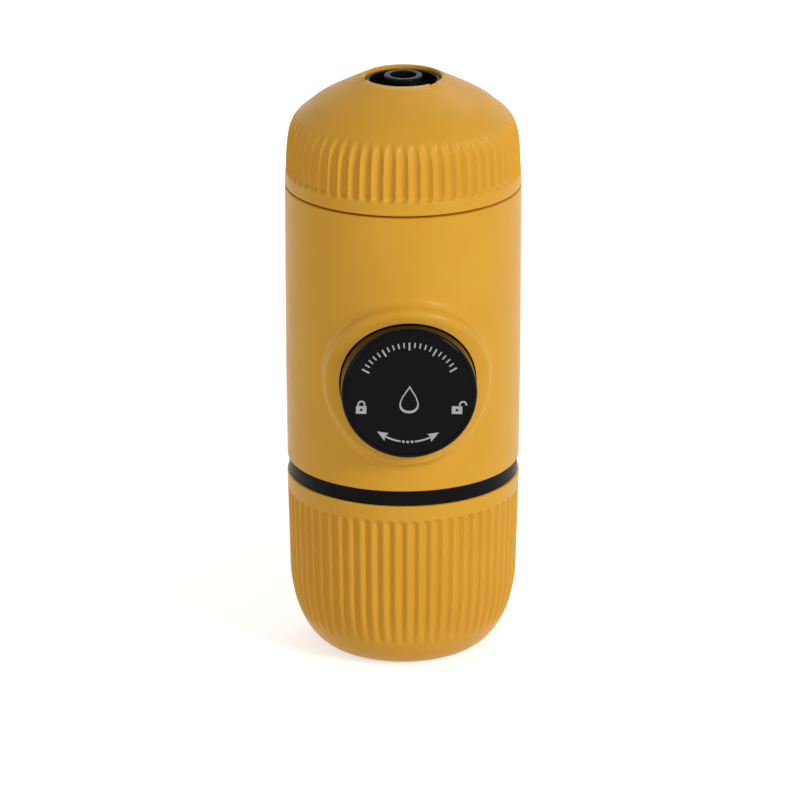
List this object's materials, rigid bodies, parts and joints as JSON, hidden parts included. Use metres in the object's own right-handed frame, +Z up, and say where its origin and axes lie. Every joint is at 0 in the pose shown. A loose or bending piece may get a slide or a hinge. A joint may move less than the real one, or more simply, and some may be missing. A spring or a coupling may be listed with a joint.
{
  "type": "handheld manual espresso maker",
  "caption": "Upright pocket espresso maker: fluted domed outlet head, round pump knob on a raised pad, water tank with a black flange, and a fluted cup as the foot.",
  "frame": {"origin": "middle of the cup's flat foot, on the axis of the body", "axes": "+Z up along the body's axis, pump knob towards -Y, +X to the right"},
  "size_m": [0.062, 0.0696, 0.1571],
  "materials": {
    "yellow_plastic": "fine satin texture, moulded",
    "tank_plastic": "black, satin on the outside",
    "black_plastic": "black, moulded, food safe",
    "gloss_black": "polished black",
    "silicone": "soft, matte",
    "steel": "stainless, plain"
  },
  "bodies": {
    "main_body": {"body_shell": "yellow_plastic", "brew_head": "black_plastic", "brew_gasket": "silicone", "shower_screen": "steel", "shower_screw": "steel", "pump_cylinder": "black_plastic", "inlet_valve": "silicone", "outlet_valve_spring": "steel", "return_spring": "steel", "knob_guide": "black_plastic", "guide_screws": "steel", "tank_socket": "black_plastic", "vent_valve": "silicone", "suction_tube": "silicone", "suction_strainer": "black_plastic", "chassis_screws": "steel"},
    "valve_poppet": {"outlet_valve_poppet": "black_plastic"},
    "spring_washer": {"thrust_washer": "black_plastic"},
    "pump_knob": {"piston": "black_plastic", "piston_seals": "silicone", "knob_cap": "gloss_black", "knob_face": "gloss_black", "knob_screw": "steel"},
    "tank_seal": {"tank_gasket": "silicone"},
    "tank": {"water_tank": "tank_plastic"},
    "cup": {"drinking_cup": "yellow_plastic"},
    "basket": {"filter_basket": "steel"},
    "head_seal": {"head_gasket": "silicone"},
    "screen": {"outlet_screen": "steel"},
    "outlet_head": {"outlet_head_shell": "yellow_plastic", "outlet_head_liner": "black_plastic", "outlet_nozzle": "black_plastic"}
  },
  "joints": [
    {"name": "cup_pull", "type": "slide", "parent": "tank", "child": "cup", "axis": [0, 0, -1], "range_m": [0, 0.045]},
    {"name": "tank_drop", "type": "slide", "parent": "main_body", "child": "tank_seal", "axis": [0, 0, -1], "range_m": [0, 0.052]},
    {"name": "tank_twist", "type": "hinge", "parent": "tank_seal", "child": "tank", "pos_m": [0, 0, 0.0525], "axis": [0, 0, -1], "range_deg": [0, 270]},
    {"name": "pump_stroke", "type": "slide", "parent": "main_body", "child": "spring_washer", "axis": [0, -1, 0], "range_m": [0, 0.019], "deforming": ["return_spring"]},
    {"name": "lock_twist", "type": "hinge", "parent": "spring_washer", "child": "pump_knob", "pos_m": [0, -0.0386, 0.0824], "axis": [0, -1, 0], "range_deg": [-60, 0]},
    {"name": "outlet_valve", "type": "slide", "parent": "main_body", "child": "valve_poppet", "axis": [0, 0, 1], "range_m": [0, 0.0012], "stiffness_N_per_m": 200, "springref_m": -0.001, "deforming": ["outlet_valve_spring"]},
    {"name": "basket_lift", "type": "slide", "parent": "main_body", "child": "basket", "axis": [0, 0, 1], "range_m": [0, 0.03]},
    {"name": "head_lift", "type": "slide", "parent": "basket", "child": "head_seal", "axis": [0, 0, 1], "range_m": [0, 0.035]},
    {"name": "head_rise", "type": "slide", "parent": "head_seal", "child": "screen", "axis": [0, 0, 1], "range_m": [0, 0.0045]},
    {"name": "head_twist", "type": "hinge", "parent": "screen", "child": "outlet_head", "pos_m": [0, 0, 0.1275], "axis": [0, 0, 1], "range_deg": [0, 270]}
  ],
  "couplings": [
    {"joint": "head_rise", "follows": "head_twist", "m_per_rad": 0.00095398}
  ]
}
